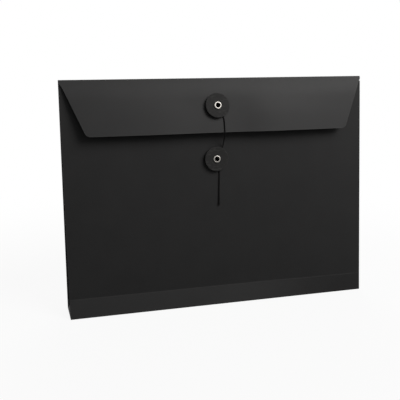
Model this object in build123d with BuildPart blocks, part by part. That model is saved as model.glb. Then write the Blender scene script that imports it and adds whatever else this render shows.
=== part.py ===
# String tie envelope: a gusseted card envelope with a washer on its flap, a washer on its
# front, and a string that is anchored under the upper washer and wound under the lower one.
# Millimetres. X runs along the width, the front faces -Y, Z is up from the floor, and the
# origin is the middle of the base.

import os
from math import asin, atan2, cos, hypot, pi, radians, sin, sqrt, tan

from build123d import *

os.makedirs("parts", exist_ok=True)

# The envelope
envelope_width = 320
envelope_height = 235
gusset_depth = 35
fold_setback = 10
card = 0.5

# The front's lower crease, where the block bottom folds
lower_crease_height = 19
crease_setback = 5
crease_gap = 0.1

# The flap leaves the top crease at one lean, eases to another and runs straight down
flap_length = 56.05
flap_root_length = 22
flap_root_lean = 29
flap_lean = 14.7
flap_side_inset = 23.3
flap_corner_radius = 6
score_depth = 1.7
score_gap = 0.3

# The mouth: how far the front ends below the top, and how far behind the flap
front_drop = 5
flap_clearance = 0.7

# The glued card inside
tab_width = 14
tab_end_gap = 3
base_tab_height = 15
base_flap_length = 28
glue_margin = 1.5
gusset_edge_inset = 0.3
gusset_clearance = 0.15
pleat_gap = 0.55
toe_lift = 0.4
toe_margin = 0.5

# Washers, eyelets and backing discs
washer_x = -4.4
upper_washer_drop = 29.05
lower_washer_below_flap = 28.25
washer_diameter = 25
washer_thickness = 1.2
washer_edge_round = 0.35
washer_play = 0.1
running_clearance = 0.07
barrel_diameter = 4.5
bore_diameter = 3.9
flange_diameter = 7.7
flange_height = 1.0
flange_round = 0.75
roll_diameter = 6.6
roll_height = 0.6
roll_round = 0.25
eyelet_fit = 0.04
backing_diameter = 14
backing_thickness = 0.5

# The string
string_diameter = 1.0
string_clearance = 0.12
winding_gap = 0.45
edge_reach = 2.6
anchor_lead = 4.2
anchor_knot_diameter = 2.0
anchor_knot_length = 2.4
anchor_knot_round = 0.6
end_knot_diameter = 2.3
end_knot_length = 2.6
end_knot_round = 0.8
end_stub_length = 1.2

half_width = envelope_width / 2
half_depth = gusset_depth / 2
half_card = card / 2

# The back leans forward from the base's rear edge to the top crease
fold_y = half_depth - half_card - fold_setback
fold_z = envelope_height - half_card
back_lean = atan2(fold_setback, fold_z)
card_across = card / cos(back_lean)


# The inner face of the back at a height
def back_inner_y(z):
    return half_depth - half_card - z * tan(back_lean) - card_across / 2


# The flap's section in the YZ plane, by the middle of the card
root_lean = radians(flap_root_lean)
lean = radians(flap_lean)
root_radius = flap_root_length / (root_lean - lean)
root_centre_y = fold_y + root_radius * cos(root_lean)
root_centre_z = fold_z - root_radius * sin(root_lean)


# A point on the flap's bent root, by its lean there and its distance from the root's centre
def root_point(angle, radius):
    return (root_centre_y - radius * cos(angle), root_centre_z + radius * sin(angle))


knee_y, knee_z = root_point(lean, root_radius)


# A point on the flap's straight part, run from the top crease and out from the middle of the card
def flap_point(run, out):
    past = run - flap_root_length
    return (
        knee_y - past * sin(lean) - out * cos(lean),
        knee_z - past * cos(lean) + out * sin(lean),
    )


# The flap's inner face at a height, on its root or on its straight part
def flap_inner_y(z):
    inner_radius = root_radius - half_card
    if z > root_centre_z + inner_radius * sin(lean):
        return root_centre_y - sqrt(inner_radius**2 - (z - root_centre_z) ** 2)
    return knee_y - (knee_z - z) * tan(lean) + half_card / cos(lean)


# The front's section: it leans back from the lower crease to just behind the flap
crease_y = crease_setback + half_card - half_depth
crease_z = lower_crease_height
mouth_z = envelope_height - front_drop
mouth_y = flap_inner_y(mouth_z) + flap_clearance + half_card
front_length = hypot(mouth_y - crease_y, mouth_z - crease_z)
front_lean = asin((mouth_y - crease_y) / front_length)
band_lean = asin(crease_setback / hypot(crease_setback, crease_z))


# A point of the front panel, run up from the lower crease and out from the middle of the card
def front_point(run, out):
    return (
        crease_y + run * sin(front_lean) - out * cos(front_lean),
        crease_z + run * cos(front_lean) + out * sin(front_lean),
    )


# A point of the band under the crease, run down from the crease and out from the middle of the card
def band_point(run, out):
    return (
        crease_y - run * sin(band_lean) - out * cos(band_lean),
        crease_z - run * cos(band_lean) + out * sin(band_lean),
    )


# The inner face of the front at a height, on the panel or on the band
def front_inner_y(z):
    slope = front_lean if z >= crease_z else band_lean
    return crease_y + (z - crease_z) * tan(slope) + half_card / cos(slope)


# The washers' seats, on the outer faces of the card, with their Z out of the card
upper_y, upper_z = flap_point(upper_washer_drop, half_card)
upper_seat = Plane((washer_x, upper_y, upper_z), x_dir=(1, 0, 0), z_dir=(0, -cos(lean), sin(lean)))
flap_edge_y, flap_edge_z = flap_point(flap_length, half_card)
lower_run = (flap_edge_z - lower_washer_below_flap - crease_z) / cos(front_lean)
lower_y, lower_z = front_point(lower_run, half_card)
lower_seat = Plane(
    (washer_x, lower_y, lower_z), x_dir=(1, 0, 0), z_dir=(0, -cos(front_lean), sin(front_lean))
)

# Two layers of string fit between card and washer
low_layer = string_clearance + string_diameter / 2
high_layer = low_layer + string_diameter + winding_gap
washer_standoff = high_layer + string_diameter / 2 + string_clearance
flange_seat = washer_standoff + washer_thickness + washer_play
card_stack = card + backing_thickness
winding_radius = barrel_diameter / 2 + string_clearance + string_diameter / 2

pieces = {}

# Back panel, thinned to an edge at the top crease
with BuildPart() as back_panel:
    with BuildSketch(Plane.YZ):
        with BuildLine():
            score_z = fold_z - score_gap
            Polyline(
                (back_inner_y(0) + card_across, 0),
                (back_inner_y(score_z) + card_across, score_z),
                (back_inner_y(fold_z - score_depth), fold_z - score_depth),
                (back_inner_y(0), 0),
                close=True,
            )
        make_face()
    extrude(amount=half_width, both=True)
pieces["back_panel"] = back_panel

# Front panel, from the lower crease to the mouth, with the lower eyelet's hole
with BuildPart() as front_panel:
    with BuildSketch(Plane.YZ):
        with BuildLine():
            Polyline(
                front_point(crease_gap, half_card),
                front_point(front_length, half_card),
                front_point(front_length, -half_card),
                front_point(crease_gap, -half_card),
                close=True,
            )
        make_face()
    extrude(amount=half_width, both=True)
    with BuildSketch(lower_seat):
        Circle(barrel_diameter / 2 + eyelet_fit)
    extrude(amount=2 * card, both=True, mode=Mode.SUBTRACT)
pieces["front_panel"] = front_panel

# Front lower panel, the band under the crease, standing on the floor
with BuildPart() as front_lower_panel:
    with BuildSketch(Plane.YZ):
        with BuildLine():
            Polyline(
                band_point(crease_gap, half_card),
                band_point(crease_gap, -half_card),
                (front_inner_y(0), 0),
                (front_inner_y(0) - card / cos(band_lean), 0),
                close=True,
            )
        make_face()
    extrude(amount=half_width, both=True)
pieces["front_lower_panel"] = front_lower_panel

# Base panel, between the back panel and the band
with BuildPart() as base_panel:
    with BuildSketch(Plane.YZ):
        with BuildLine():
            Polyline(
                (back_inner_y(0), 0),
                (back_inner_y(card), card),
                (front_inner_y(card), card),
                (front_inner_y(0), 0),
                close=True,
            )
        make_face()
    extrude(amount=half_width, both=True)
pieces["base_panel"] = base_panel

# The base's rear tab, turned up and glued to the back panel
with BuildPart() as base_rear_tab:
    with BuildSketch(Plane.YZ):
        with BuildLine():
            Polyline(
                (back_inner_y(card), card),
                (back_inner_y(base_tab_height), base_tab_height),
                (back_inner_y(base_tab_height) - card_across, base_tab_height),
                (back_inner_y(card) - card_across, card),
                close=True,
            )
        make_face()
    extrude(amount=half_width - tab_width - glue_margin, both=True)
pieces["base_rear_tab"] = base_rear_tab

# Flap: the bent card's section along the whole width, cut to slanted sides and round corners
with BuildPart() as flap:
    with BuildSketch(Plane.YZ):
        with BuildLine():
            outer = root_radius + half_card
            inner = root_radius - half_card
            middle_lean = (root_lean + lean) / 2
            fold_crown = (fold_y + half_card * sin(root_lean), fold_z + half_card * cos(root_lean))
            outer_start = root_point(root_lean, outer)
            outer_knee = root_point(lean, outer)
            inner_knee = root_point(lean, inner)
            inner_start = root_point(root_lean, inner)
            ThreePointArc(outer_start, root_point(middle_lean, outer), outer_knee)
            Polyline(
                outer_knee,
                flap_point(flap_length, half_card),
                flap_point(flap_length, -half_card),
                inner_knee,
            )
            ThreePointArc(inner_knee, root_point(middle_lean, inner), inner_start)
            ThreePointArc(inner_start, fold_crown, outer_start)
        make_face()
    extrude(amount=half_width, both=True)
    with BuildSketch(upper_seat) as outline:
        with BuildLine():
            fold_reach = upper_seat.to_local_coords(Vector(0, fold_y, fold_z)).Y
            top = fold_reach + 2 * card
            bottom = upper_washer_drop - flap_length
            foot = half_width - flap_side_inset
            Polyline(
                (-half_width - washer_x, top),
                (half_width - washer_x, top),
                (half_width - washer_x, fold_reach),
                (foot - washer_x, bottom),
                (-foot - washer_x, bottom),
                (-half_width - washer_x, fold_reach),
                close=True,
            )
        make_face()
        fillet(outline.vertices().group_by(Axis.Y)[0], radius=flap_corner_radius)
    extrude(amount=flap_length, both=True, mode=Mode.INTERSECT)
    with BuildSketch(upper_seat):
        Circle(barrel_diameter / 2 + eyelet_fit)
    extrude(amount=2 * card, both=True, mode=Mode.SUBTRACT)
pieces["flap"] = flap

# Side gussets: each a strip with a tab on the front, two leaves that fold inwards, a tab on
# the back and a toe that leans in over the base, and the base's glue flap beside it. The strip
# ends where the pocket is just deep enough for its folded card
leaf_width = half_depth
leaf_edge = half_width - gusset_edge_inset
toe_foot = 2 * card + toe_lift
toe_head = lower_crease_height - tab_end_gap
tab_foot = lower_crease_height + tab_end_gap
folded_gusset = 4 * card + 2 * gusset_clearance + pleat_gap
pocket_depth = back_inner_y(crease_z) - front_inner_y(crease_z)
pocket_taper = tan(back_lean) + tan(front_lean)
gusset_top = crease_z + (pocket_depth - folded_gusset) / pocket_taper
tab_head = min(mouth_z - tab_end_gap, gusset_top)
leaf_middle = (tab_foot + tab_head) / 2
leaf_heights = [(toe_foot, toe_head), (tab_foot, tab_foot), (leaf_middle, leaf_middle), (tab_head, tab_head)]


# The middle of the front leaf's edge at a height
def front_leaf_y(z):
    return front_inner_y(z) + card + gusset_clearance + half_card


# The middle of the rear leaf's edge at a height
def rear_leaf_y(z):
    return back_inner_y(z) - card - gusset_clearance - half_card


# How far the pleat reaches in from the side at a height, and its Y
def pleat(z):
    half_gap = (rear_leaf_y(z) - front_leaf_y(z)) / 2
    return sqrt(leaf_width**2 - half_gap**2), front_leaf_y(z) + half_gap


# Four corners of a leaf's section, from its edge at the side to the pleat
def leaf_section(side, edge_y, edge_z, pleat_z):
    reach, middle_y = pleat(pleat_z)
    run = hypot(reach, middle_y - edge_y)
    across = side * half_card * (middle_y - edge_y) / run
    along = half_card * reach / run
    stop = along + gusset_clearance
    tip_y = middle_y - stop if edge_y < middle_y else middle_y + stop
    edge_x = side * leaf_edge
    tip_x = side * (leaf_edge - reach)
    return [
        Vector(edge_x - across, edge_y - along, edge_z),
        Vector(edge_x + across, edge_y + along, edge_z),
        Vector(tip_x + across, tip_y + along, pleat_z),
        Vector(tip_x - across, tip_y - along, pleat_z),
    ]


# The plane of a flat polygon, facing up
def plane_of(corners):
    along = corners[2] - corners[1]
    up = (corners[1] - corners[0]).cross(along)
    return Plane(corners[0], x_dir=along, z_dir=up if up.Z > 0 else -up)


for side_name, side in (("left", -1), ("right", 1)):
    side_plane = Plane.YZ.offset(side * half_width)
    tab_start = (tab_foot - crease_z) / cos(front_lean)
    tab_end = (tab_head - crease_z) / cos(front_lean)
    with BuildPart() as front_tab:
        with BuildSketch(side_plane):
            with BuildLine():
                Polyline(
                    front_point(tab_start, -half_card),
                    front_point(tab_end, -half_card),
                    front_point(tab_end, -half_card - card),
                    front_point(tab_start, -half_card - card),
                    close=True,
                )
            make_face()
        extrude(amount=-side * tab_width)
    pieces[f"{side_name}_gusset_front_tab"] = front_tab

    with BuildPart() as rear_tab:
        with BuildSketch(side_plane):
            with BuildLine():
                Polyline(
                    (back_inner_y(tab_foot), tab_foot),
                    (back_inner_y(tab_head), tab_head),
                    (back_inner_y(tab_head) - card_across, tab_head),
                    (back_inner_y(tab_foot) - card_across, tab_foot),
                    close=True,
                )
            make_face()
        extrude(amount=-side * tab_width)
    pieces[f"{side_name}_gusset_rear_tab"] = rear_tab

    with BuildPart() as front_leaf:
        for edge_z, pleat_z in leaf_heights:
            corners = leaf_section(side, front_leaf_y(edge_z), edge_z, pleat_z)
            section = plane_of(corners)
            with BuildSketch(section):
                with BuildLine():
                    Polyline(*[section.to_local_coords(c) for c in corners], close=True)
                make_face()
        loft(ruled=True)
    pieces[f"{side_name}_gusset_front_leaf"] = front_leaf

    with BuildPart() as rear_leaf:
        for edge_z, pleat_z in leaf_heights:
            corners = leaf_section(side, rear_leaf_y(edge_z), edge_z, pleat_z)
            section = plane_of(corners)
            with BuildSketch(section):
                with BuildLine():
                    Polyline(*[section.to_local_coords(c) for c in corners], close=True)
                make_face()
        loft(ruled=True)
    pieces[f"{side_name}_gusset_rear_leaf"] = rear_leaf

    reach, toe_y = pleat(toe_head)
    toe_corners = [
        Vector(side * leaf_edge, front_leaf_y(toe_foot), toe_foot),
        Vector(side * leaf_edge, rear_leaf_y(toe_foot), toe_foot),
        Vector(side * (leaf_edge - reach), toe_y, toe_head),
    ]
    toe_plane = plane_of(toe_corners)
    with BuildPart() as toe:
        with BuildSketch(toe_plane):
            with BuildLine():
                Polyline(*[toe_plane.to_local_coords(c) for c in toe_corners], close=True)
            make_face()
            offset(amount=-toe_margin, mode=Mode.REPLACE)
        extrude(amount=half_card, both=True)
    pieces[f"{side_name}_gusset_toe"] = toe

    flap_front = front_inner_y(2 * card) + glue_margin
    flap_back = back_inner_y(2 * card) - card - glue_margin
    flap_outer = side * (half_width - glue_margin)
    flap_inner = side * (half_width - glue_margin - base_flap_length)
    with BuildPart() as base_flap:
        with BuildSketch(Plane.XY.offset(card)):
            with BuildLine():
                Polyline(
                    (flap_outer, flap_front),
                    (flap_inner, flap_front + glue_margin),
                    (flap_inner, flap_back - glue_margin),
                    (flap_outer, flap_back),
                    close=True,
                )
            make_face()
        extrude(amount=card)
    pieces[f"{side_name}_base_flap"] = base_flap

# Washers on their eyelets, with a backing disc inside the card
for place, seat in (("upper", upper_seat), ("lower", lower_seat)):
    with BuildPart() as washer:
        with BuildSketch(seat.offset(washer_standoff)):
            Circle(washer_diameter / 2)
            Circle(barrel_diameter / 2 + running_clearance, mode=Mode.SUBTRACT)
        extrude(amount=washer_thickness)
        rims = washer.edges().filter_by(GeomType.CIRCLE).sort_by(SortBy.RADIUS)[-2:]
        fillet(rims, radius=washer_edge_round)
    pieces[f"{place}_washer"] = washer

    with BuildPart() as backing:
        with BuildSketch(seat.offset(-card)):
            Circle(backing_diameter / 2)
            Circle(barrel_diameter / 2 + eyelet_fit, mode=Mode.SUBTRACT)
        extrude(amount=-backing_thickness)
    pieces[f"{place}_backing_disc"] = backing

    with BuildPart() as eyelet:
        with BuildSketch(seat.offset(-card_stack - roll_height)):
            Circle(roll_diameter / 2)
        extrude(amount=roll_height)
        with BuildSketch(seat.offset(-card_stack)):
            Circle(barrel_diameter / 2)
        extrude(amount=card_stack + flange_seat)
        with BuildSketch(seat.offset(flange_seat)):
            Circle(flange_diameter / 2)
        extrude(amount=flange_height)
        with BuildSketch(seat.offset(flange_seat + flange_height)):
            Circle(bore_diameter / 2)
        extrude(amount=-flange_height - flange_seat - card_stack - roll_height, mode=Mode.SUBTRACT)
        fillet(eyelet.faces().sort_by(Axis.Y)[0].edges(), radius=flange_round)
        rear_rims = eyelet.faces().sort_by(Axis.Y)[-1].edges().sort_by(SortBy.RADIUS)
        fillet(rear_rims[-1], radius=roll_round)
    pieces[f"{place}_eyelet"] = eyelet


# One clockwise turn round a barrel, from the high layer at its right side to the low one, as
# two half circles that meet it upright, with a straight lead in and out
def turn_path(seat, lead_in, lead_out):
    middle_layer = (high_layer + low_layer) / 2
    right_high = (winding_radius, 0, high_layer)
    left = (-winding_radius, 0, middle_layer)
    right_low = (winding_radius, 0, low_layer)
    half_pitch = (high_layer - low_layer) / 2
    swing = hypot(2 * winding_radius, half_pitch) / 2
    below = (0, -swing, (high_layer + middle_layer) / 2)
    above = (0, swing, (middle_layer + low_layer) / 2)
    place = seat.from_local_coords
    Line(place((winding_radius, lead_in, high_layer)), place(right_high))
    ThreePointArc(place(right_high), place(below), place(left))
    ThreePointArc(place(left), place(above), place(right_low))
    Line(place(right_low), place((winding_radius, -lead_out, low_layer)))


for name, seat, lead_in in (
    ("string_anchor", upper_seat, anchor_lead),
    ("string_winding", lower_seat, string_diameter),
):
    with BuildPart() as turn:
        with BuildLine() as path:
            turn_path(seat, lead_in, string_diameter)
        wire = path.wires()[0]
        with BuildSketch(Plane(wire @ 0, z_dir=wire % 0)):
            Circle(string_diameter / 2)
        sweep(path=wire)
    pieces[name] = turn
    length = wire.length
    points = [wire @ (i / 400) for i in range(401)]
    reach_steps = int(400 * 3 * string_diameter / length)
    gap = min(
        (points[i] - points[j]).length - string_diameter
        for i in range(401)
        for j in range(i + reach_steps, 401)
    )
    section_volume = pi * (string_diameter / 2) ** 2 * length
    print(f"{name}: length {length:.1f}, least gap to itself {gap:.2f}")
    print(f"  volume {turn.part.volume:.2f} against {section_volume:.2f}")

# The string's free stretches, by points in the seats' own axes
place_upper = upper_seat.from_local_coords
place_lower = lower_seat.from_local_coords
edge_drop = flap_length - upper_washer_drop
edge_lead = place_upper((6.9, -19.5, low_layer))
edge_point = place_upper((6.7, -edge_drop, low_layer))
edge_turn = edge_point + (edge_point - edge_lead).normalized() * edge_reach
upper_route = [
    place_upper((winding_radius, -string_diameter, low_layer)),
    place_upper((winding_radius, -5, low_layer)),
    place_upper((6.7, -12, low_layer)),
    edge_lead,
    edge_point,
]
lower_route = [
    edge_point,
    edge_turn,
    place_lower((7.7, 12, high_layer)),
    place_lower((winding_radius, 5, high_layer)),
    place_lower((winding_radius, string_diameter, high_layer)),
]
tail_route = [
    place_lower((winding_radius, -string_diameter, low_layer)),
    place_lower((winding_radius, -6, low_layer)),
    place_lower((3.35, -16, low_layer + 0.1)),
    place_lower((2.75, -30.5, low_layer + 0.35)),
    place_lower((2.4, -45, low_layer + 0.7)),
]


# The largest arc that each corner of a route has room for
def route_radii(route):
    radii = []
    for before, corner, after in zip(route, route[1:], route[2:]):
        turn = (corner - before).get_angle(after - corner)
        shorter = min((corner - before).length, (after - corner).length)
        radii.append(0.45 * shorter / tan(radians(turn) / 2))
    return radii


for name, route in (
    ("string_upper_span", upper_route),
    ("string_lower_span", lower_route),
    ("string_tail", tail_route),
):
    radii = route_radii(route)
    with BuildPart() as stretch:
        with BuildLine() as path:
            FilletPolyline(*route, radius=radii)
        wire = path.wires()[0]
        with BuildSketch(Plane(wire @ 0, z_dir=wire % 0)):
            Circle(string_diameter / 2)
        sweep(path=wire)
    pieces[name] = stretch
    length = wire.length
    section_volume = pi * (string_diameter / 2) ** 2 * length
    print(f"{name}: length {length:.1f}, radii {[round(r, 1) for r in radii]}")
    print(f"  volume {stretch.part.volume:.2f} against {section_volume:.2f}")

# The knot at the anchored end, above the barrel and between card and washer
anchor_knot_layer = washer_standoff - string_clearance - anchor_knot_diameter / 2
anchor_top = place_upper((winding_radius, anchor_lead, anchor_knot_layer))
with BuildPart() as anchor_knot:
    with BuildSketch(Plane(anchor_top, z_dir=upper_seat.y_dir)):
        Circle(anchor_knot_diameter / 2)
    extrude(amount=anchor_knot_length)
    fillet(anchor_knot.edges().filter_by(GeomType.CIRCLE).sort_by(Axis.Z)[-1], radius=anchor_knot_round)
pieces["string_anchor_knot"] = anchor_knot

# The knot at the free end, with the short stub that it leaves
tail_end = tail_route[-1]
tail_way = (tail_route[-1] - tail_route[-2]).normalized()
knot_plane = Plane(tail_end, z_dir=tail_way)
with BuildPart() as end_knot:
    with BuildSketch(knot_plane):
        Circle(end_knot_diameter / 2)
    extrude(amount=end_knot_length)
    fillet(end_knot.edges().filter_by(GeomType.CIRCLE), radius=end_knot_round)
    with BuildSketch(knot_plane.offset(end_knot_length)):
        Circle(string_diameter / 2)
    extrude(amount=end_stub_length)
pieces["string_end_knot"] = end_knot

for name, piece in pieces.items():
    piece.part.label = name
    export_step(piece.part, f"parts/{name}.step")
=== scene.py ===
from math import asin, atan2, cos, hypot, pi, radians, sin, sqrt, tan

import bmesh
import bpy
import numpy as np
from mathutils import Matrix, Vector


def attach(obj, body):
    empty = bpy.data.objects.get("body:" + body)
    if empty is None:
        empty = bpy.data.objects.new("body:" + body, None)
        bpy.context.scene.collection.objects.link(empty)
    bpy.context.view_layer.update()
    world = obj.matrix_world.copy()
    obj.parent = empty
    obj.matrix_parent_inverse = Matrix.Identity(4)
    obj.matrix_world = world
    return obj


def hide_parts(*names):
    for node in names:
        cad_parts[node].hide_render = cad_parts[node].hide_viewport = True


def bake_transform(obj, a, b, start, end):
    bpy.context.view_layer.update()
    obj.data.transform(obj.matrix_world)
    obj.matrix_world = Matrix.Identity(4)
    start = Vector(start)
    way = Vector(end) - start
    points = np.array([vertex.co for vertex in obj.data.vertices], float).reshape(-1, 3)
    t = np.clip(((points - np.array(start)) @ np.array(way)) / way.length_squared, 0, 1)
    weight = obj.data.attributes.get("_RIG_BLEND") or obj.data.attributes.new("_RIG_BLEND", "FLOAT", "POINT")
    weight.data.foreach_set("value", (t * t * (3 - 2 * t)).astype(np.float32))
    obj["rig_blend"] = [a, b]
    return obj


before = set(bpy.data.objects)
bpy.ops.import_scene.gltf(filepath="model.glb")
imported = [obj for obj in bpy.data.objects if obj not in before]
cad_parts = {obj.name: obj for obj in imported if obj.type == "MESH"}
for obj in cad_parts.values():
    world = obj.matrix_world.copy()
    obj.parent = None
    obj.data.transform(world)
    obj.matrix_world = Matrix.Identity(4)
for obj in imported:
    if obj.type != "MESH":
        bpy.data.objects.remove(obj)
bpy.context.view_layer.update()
scene = bpy.context.scene
scene.view_settings.view_transform = "Standard"
mm = 0.001
print("frame loaded:", len(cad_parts), "nodes")


def newObject(name, data):
    thing = bpy.data.objects.new(name, data)
    scene.collection.objects.link(thing)
    return thing


# Camera, at the photograph's angle
cameraSet = {
    "place": (-0.206825, -0.652668, 0.268618),
    "turnRight": 15.885,
    "tiltDown": 13.12,
    "lens": 60.28,
    "sensor": 36.0,
    "clip": (0.01, 20.0),
}


def placeCamera():
    data = bpy.data.cameras.new("viewCamera")
    data.lens = cameraSet["lens"]
    data.sensor_width = cameraSet["sensor"]
    data.clip_start, data.clip_end = cameraSet["clip"]
    holder = newObject("viewCamera", data)
    holder.location = cameraSet["place"]
    holder.rotation_euler = (radians(90 - cameraSet["tiltDown"]), 0, -radians(cameraSet["turnRight"]))
    scene.camera = holder


placeCamera()


# Small helpers for node trees: a node with its inputs set or linked, or only its first output
def put(tree, kind, inputs=None, **settings):
    node = tree.nodes.new(kind)
    for key, value in settings.items():
        setattr(node, key, value)
    for key, value in (inputs or {}).items():
        if isinstance(value, bpy.types.NodeSocket):
            tree.links.new(value, node.inputs[key])
        else:
            node.inputs[key].default_value = value
    return node


def take(tree, kind, inputs=None, **settings):
    return put(tree, kind, inputs, **settings).outputs[0]


def calc(tree, operation, *values):
    return take(tree, "ShaderNodeMath", dict(enumerate(values)), operation=operation)


def vectorCalc(tree, operation, *values):
    return take(tree, "ShaderNodeVectorMath", dict(enumerate(values)), operation=operation)


def scaled(tree, vector, factor):
    return take(tree, "ShaderNodeVectorMath", {0: vector, "Scale": factor}, operation="SCALE")


def spread(tree, value, low, high, fromLow=0.0, fromHigh=1.0, kind="LINEAR"):
    ends = {0: value, 1: fromLow, 2: fromHigh, 3: low, 4: high}
    return take(tree, "ShaderNodeMapRange", ends, interpolation_type=kind)


def ease(tree, value, low, high, fromLow, fromHigh):
    return spread(tree, value, low, high, fromLow, fromHigh, "SMOOTHSTEP")


def noiseOf(tree, place, scale, detail):
    return take(tree, "ShaderNodeTexNoise", {"Vector": place, "Scale": scale, "Detail": detail})


def mixColour(tree, factor, first, second):
    return put(tree, "ShaderNodeMix", {0: factor, 6: first, 7: second}, data_type="RGBA").outputs[2]


# A new group, with its inputs to read from and its outputs to link to
def newTree(name, kind, inputs, outputs):
    tree = bpy.data.node_groups.new(name, kind)
    for way, sockets in (("INPUT", inputs), ("OUTPUT", outputs)):
        for label, socketType in sockets.items():
            tree.interface.new_socket(label, in_out=way, socket_type="NodeSocket" + socketType)
    return tree, put(tree, "NodeGroupInput").outputs, put(tree, "NodeGroupOutput").inputs


# The end of a geometry tree: realised, with its finish
def endTree(tree, geometry, finish, result):
    solid = take(tree, "GeometryNodeRealizeInstances", {"Geometry": geometry})
    done = take(tree, "GeometryNodeSetMaterial", {"Geometry": solid, "Material": finish})
    tree.links.new(done, result[0])


# The evaluated object as a plain mesh, with its modifiers gone
def settle(thing):
    graph = bpy.context.evaluated_depsgraph_get()
    mesh = bpy.data.meshes.new_from_object(thing.evaluated_get(graph), depsgraph=graph)
    thing.modifiers.clear()
    old = thing.data
    thing.data = mesh
    mesh.name = thing.name
    if old.users == 0:
        bpy.data.meshes.remove(old)


def socketId(tree, name):
    return next(s.identifier for s in tree.interface.items_tree if s.name == name and s.in_out == "INPUT")


def growMesh(thing, tree, values):
    maker = thing.modifiers.new(tree.name, "NODES")
    maker.node_group = tree
    for key, value in values.items():
        maker[socketId(tree, key)] = value
    settle(thing)


def meshObject(name, made, *finishes):
    mesh = bpy.data.meshes.new(name)
    made.to_mesh(mesh)
    made.free()
    for finish in finishes:
        mesh.materials.append(finish)
    return newObject(name, mesh)


# Layers that hold one number for each point
def addLayers(made, *names):
    for name in names:
        made.verts.layers.float.new(name)
    return [made.verts.layers.float[name] for name in names]


def smoothFaces(thing, angle):
    thing.data.shade_smooth()
    thing.data.set_sharp_from_angle(angle=radians(angle))


def smoothStep(low, high, value):
    t = np.clip((np.asarray(value, float) - low) / (high - low), 0, 1)
    return t * t * (3 - 2 * t)


# The folded card in millimetres, as the solids have it
envelope = {
    "width": 320.0,
    "height": 235.0,
    "depth": 35.0,
    "card": 0.5,
    "foldSetback": 10.0,
    "creaseHeight": 19.0,
    "creaseSetback": 5.0,
    "mouthDrop": 5.0,
    "flapClearance": 0.7,
    "pleatGap": 0.55,
    "creaseSpring": 3.0,
    "springFade": (30, 150),
}
flapCut = {
    "length": 56.05,
    "rootLength": 22.0,
    "rootLean": 29.0,
    "lean": 14.7,
    "sideInset": 23.3,
    "cornerRadius": 6.0,
    "shoulder": (1.3, 6.8),
    "crestRadius": 0.28,
}
washerSet = {
    "x": -4.4,
    "upperDrop": 29.05,
    "lowerBelowFlap": 28.25,
    "diameter": 25.0,
    "thickness": 1.2,
    "edgeRound": 0.35,
    "standoff": 2.69,
    "holeRadius": 2.32,
    "holeRound": 0.08,
    "mouthRound": 0.1,
    "underRadii": (5.0, 8.0, 11.0),
    "dish": 0.06,
    "dishShape": ((11.4, 0), (10.2, 1 / 3), (8.0, 1 / 2), (6.0, 2 / 3), (4.2, 1)),
    "ripple": 0.022,
    "edgeWear": 5.0,
    "segments": 144,
}

halfWidth = envelope["width"] / 2
halfCard = envelope["card"] / 2
rearY = envelope["depth"] / 2 - halfCard
foldY = rearY - envelope["foldSetback"]
foldZ = envelope["height"] - halfCard
backLean = atan2(envelope["foldSetback"], foldZ)
rootLean = radians(flapCut["rootLean"])
flapLean = radians(flapCut["lean"])
rootRadius = flapCut["rootLength"] / (rootLean - flapLean)
rootCentre = (foldY + rootRadius * cos(rootLean), foldZ - rootRadius * sin(rootLean))


def rootPoint(lean):
    return (rootCentre[0] - rootRadius * cos(lean), rootCentre[1] + rootRadius * sin(lean))


def flapPoint(run, out):
    past = run - flapCut["rootLength"]
    kneeY, kneeZ = rootPoint(flapLean)
    y = kneeY - past * sin(flapLean) - out * cos(flapLean)
    return (y, kneeZ - past * cos(flapLean) + out * sin(flapLean))


def backInnerY(z):
    return rearY - z * tan(backLean) - halfCard / cos(backLean)


creaseY = envelope["creaseSetback"] + halfCard - envelope["depth"] / 2
creaseZ = envelope["creaseHeight"]
mouthZ = envelope["height"] - envelope["mouthDrop"]
underRoot = rootCentre[0] - sqrt((rootRadius - halfCard) ** 2 - (mouthZ - rootCentre[1]) ** 2)
mouthY = underRoot + envelope["flapClearance"] + halfCard
frontLength = hypot(mouthY - creaseY, mouthZ - creaseZ)
frontLean = asin((mouthY - creaseY) / frontLength)
bandLean = asin(envelope["creaseSetback"] / hypot(envelope["creaseSetback"], creaseZ))


def frontPoint(run, out):
    y = creaseY + run * sin(frontLean) - out * cos(frontLean)
    return (y, creaseZ + run * cos(frontLean) + out * sin(frontLean))


def frontInnerY(z):
    slope = frontLean if z >= creaseZ else bandLean
    return creaseY + (z - creaseZ) * tan(slope) + halfCard / cos(slope)


# Towards the right the lower crease has sprung nearly flat: how far forward that brings the front
def creaseEase(x, z):
    share = z / creaseZ if z < creaseZ else (mouthZ - z) / (mouthZ - creaseZ)
    sprung = float(smoothStep(*envelope["springFade"], x))
    return envelope["creaseSpring"] * sprung * min(max(share, 0), 1)


# A seat is a place on the card's outer face, with its own across, up and out
def makeSeat(place, lean):
    return {
        "origin": Vector((washerSet["x"], place[0], place[1])),
        "across": Vector((1, 0, 0)),
        "up": Vector((0, sin(lean), cos(lean))),
        "out": Vector((0, -cos(lean), sin(lean))),
    }


def onSeat(seat, x, y, out):
    return (seat["origin"] + x * seat["across"] + y * seat["up"] + out * seat["out"]) * mm


flapEdge = flapPoint(flapCut["length"], halfCard)
lowerRun = (flapEdge[1] - washerSet["lowerBelowFlap"] - creaseZ) / cos(frontLean)
upperSeat = makeSeat(flapPoint(washerSet["upperDrop"], halfCard), flapLean)
lowerSeat = makeSeat(frontPoint(lowerRun, halfCard), frontLean)

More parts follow.
